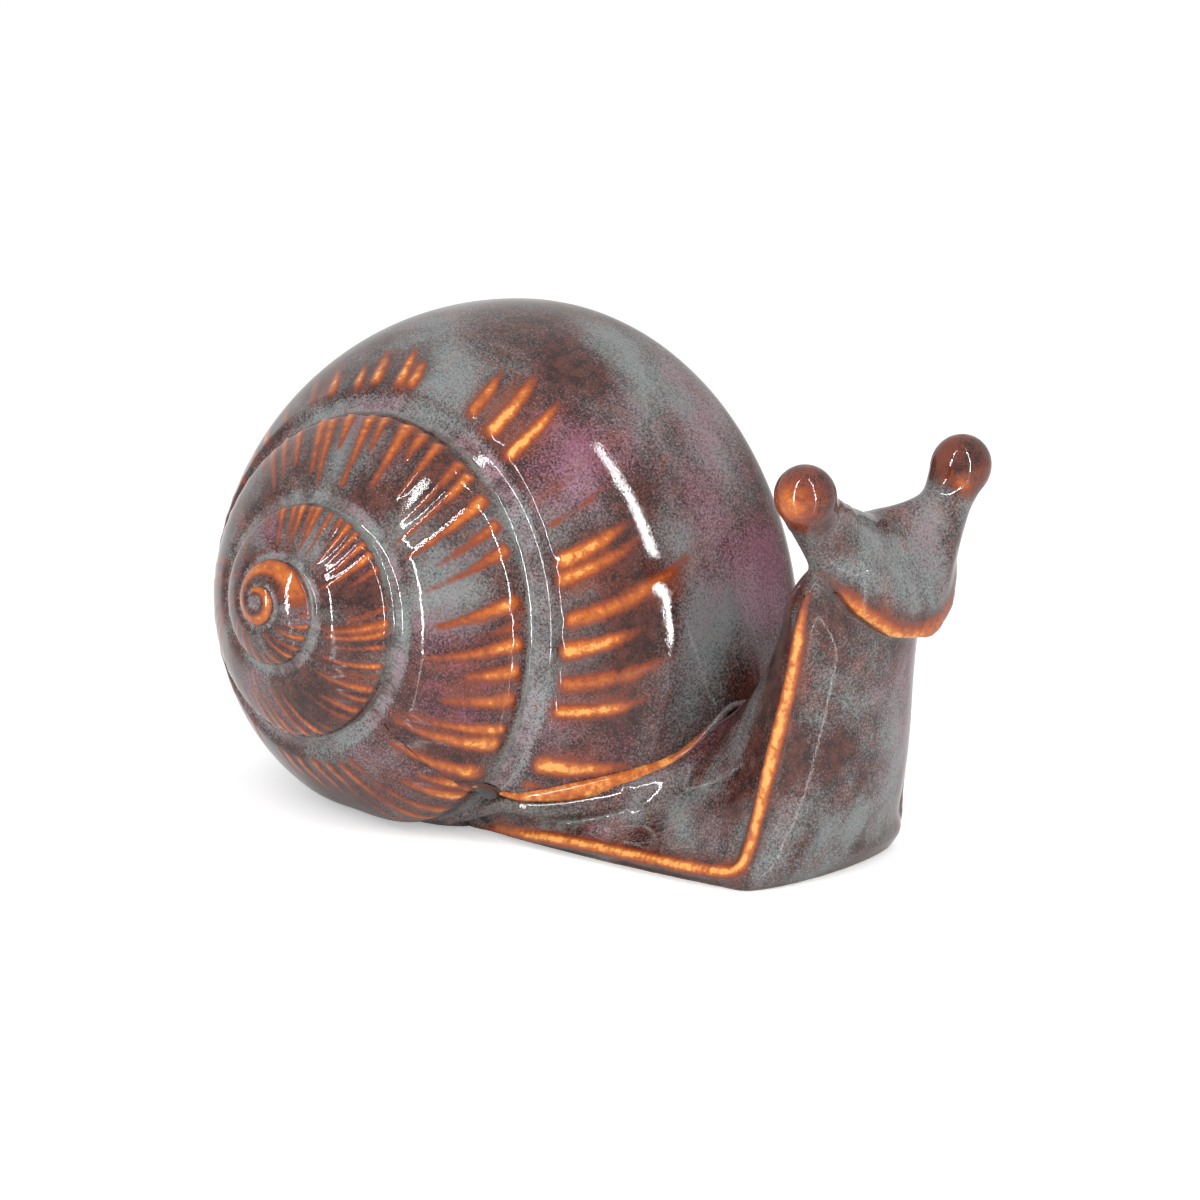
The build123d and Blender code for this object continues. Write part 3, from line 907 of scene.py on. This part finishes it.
def beyond(name, spot):
    """Whether a spot of clay lies on the far side of the seam under that piece."""
    point, normal = seat_cuts[name]
    off = spot - point
    if off.dot(normal) < 0:
        return False
    if name == "head":
        return spot.z > HEAD_LOW_Z
    return (off - normal * off.dot(normal)).length < STALK_REACH


def owner(spot):
    for name in ("right_eye_stalk", "left_eye_stalk", "head"):
        if beyond(name, spot):
            return name
    if spot.x < COLLAR_FRONT_X and collar_tree.find(spot)[2] < COLLAR_REACH:
        return "mantle_collar"
    return "foot"


body = bmesh.new()
body.from_mesh(fused)
for name, (point, normal) in seat_cuts.items():
    near = faces_where(body, lambda middle: (middle - point).length < SEAM_NEAR and middle.z > SEAM_LOW_Z)
    cut(body, near, point, normal)
owners = [owner(f.calc_center_median()) for f in body.faces]
face_plum = [(tuple(on_face(.0080, .0105)), .0034)]
face_ash = [(tuple(on_face(-.0020, .0085)), .0060)]
body_glaze = glaze("body_glaze", False, 1.2, .5, face_plum, face_ash)
for name in ("foot", "mantle_collar", "head", "right_eye_stalk", "left_eye_stalk"):
    part = body.copy()
    part.faces.ensure_lookup_table()
    others = [part.faces[k] for k, owned in enumerate(owners) if owned != name]
    bmesh.ops.delete(part, geom=others, context="FACES")
    bmesh.ops.holes_fill(part, edges=[e for e in part.edges if e.is_boundary], sides=0)
    made = piece(name + "_clay", part)
    lie = np.empty(len(made.data.vertices) * 3)
    made.data.attributes["lie"].data.foreach_get("vector", lie)
    made.data.normals_split_custom_set_from_vertices(lie.reshape(-1, 3).tolist())
    made.data.materials.append(body_glaze)
    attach(made, "root")
    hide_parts(name)

# Table: a sheet of white paper under the figurine, inside a white tent with a thin upright lamp on each
# side of the camera. The camera stands in front of the snail's right side and a little above it.
VIEW_AZIMUTH = math.radians(42)
VIEW_RISE = math.radians(14)
VIEW_DISTANCE = .750
VIEW_CENTRE = Vector((-.010541, -.004780, .031739))
LENS = 36 * 5555.6 / 1200
LAMP_TURN = math.radians(37)
LAMP_DISTANCE = .36
LAMP_FOOT = -.30
LAMP_TOP = .90
LAMP_WIDTH = .006
LAMP_POWER = 2.9
PAPER_EDGE = .26
PAPER_GLOW = .36
PAPER_SHEEN = .1
TENT_LIGHT = .74

toward = Vector((math.sin(VIEW_AZIMUTH), -math.cos(VIEW_AZIMUTH), 0))
right = Vector((math.cos(VIEW_AZIMUTH), math.sin(VIEW_AZIMUTH), 0))
table = bmesh.new()
lie = Matrix.Translation(toward * (PAPER_EDGE - 3)) @ Matrix.Rotation(VIEW_AZIMUTH, 4, "Z")
bmesh.ops.create_grid(table, x_segments=1, y_segments=1, size=3, matrix=lie)
sheet = piece("paper", table)
paper = bpy.data.materials.new("paper_white")
paper.use_nodes = True
start = Glaze(paper.node_tree, None)
seen = start.add("ShaderNodeLightPath", {}, {}, "Is Camera Ray")
matt = start.add("ShaderNodeBsdfDiffuse", {}, {"Color": (.86, .86, .86, 1)})
glow = start.add("ShaderNodeEmission", {}, {"Color": (1, 1, 1, 1), "Strength": PAPER_GLOW})
lit = start.add("ShaderNodeAddShader", {}, {0: matt, 1: glow})
sheen = start.add("ShaderNodeBsdfAnisotropic", {}, {"Color": (1, 1, 1, 1), "Roughness": .12})
coated = start.add("ShaderNodeMixShader", {}, {0: PAPER_SHEEN, 1: matt, 2: sheen})
shown = start.add("ShaderNodeMixShader", {}, {0: seen, 1: coated, 2: lit})
paper.node_tree.links.new(shown.socket, paper.node_tree.nodes["Material Output"].inputs["Surface"])
paper.node_tree.nodes.remove(paper.node_tree.nodes["Principled BSDF"])
sheet.data.materials.append(paper)

tent = bpy.data.worlds.new("white_tent")
bpy.context.scene.world = tent
tent.use_nodes = True
direct = Glaze(tent.node_tree, None).add("ShaderNodeLightPath", {}, {}, "Is Camera Ray")
strength = TENT_LIGHT + (1 - TENT_LIGHT) * direct
tent.node_tree.links.new(strength.socket, tent.node_tree.nodes["Background"].inputs["Strength"])
tent.node_tree.nodes["Background"].inputs["Color"].default_value = (1, 1, 1, 1)

for side, name in ((-1, "left_strip"), (1, "right_strip")):
    lamp = bpy.data.lights.new(name, "AREA")
    lamp.shape = "RECTANGLE"
    lamp.size = LAMP_WIDTH
    lamp.size_y = LAMP_TOP - LAMP_FOOT
    lamp.energy = LAMP_POWER
    strip = bpy.data.objects.new(name, lamp)
    aim = toward * math.cos(LAMP_TURN) + right * side * math.sin(LAMP_TURN)
    strip.location = VIEW_CENTRE + aim * LAMP_DISTANCE
    strip.location.z = (LAMP_TOP + LAMP_FOOT) / 2
    upright = Vector((0, 0, 1))
    strip.rotation_euler = Matrix((upright.cross(aim), upright, aim)).transposed().to_euler()
    bpy.context.collection.objects.link(strip)

camera = bpy.data.objects.new("camera", bpy.data.cameras.new("camera"))
camera.data.sensor_width = 36
camera.data.lens = LENS
camera.data.clip_start = .01
ray = toward * math.cos(VIEW_RISE) + Vector((0, 0, math.sin(VIEW_RISE)))
camera.location = VIEW_CENTRE + ray * VIEW_DISTANCE
camera.rotation_euler = ray.to_track_quat("Z", "Y").to_euler()
bpy.context.collection.objects.link(camera)
bpy.context.scene.camera = camera
bpy.context.scene.view_settings.view_transform = "Standard"
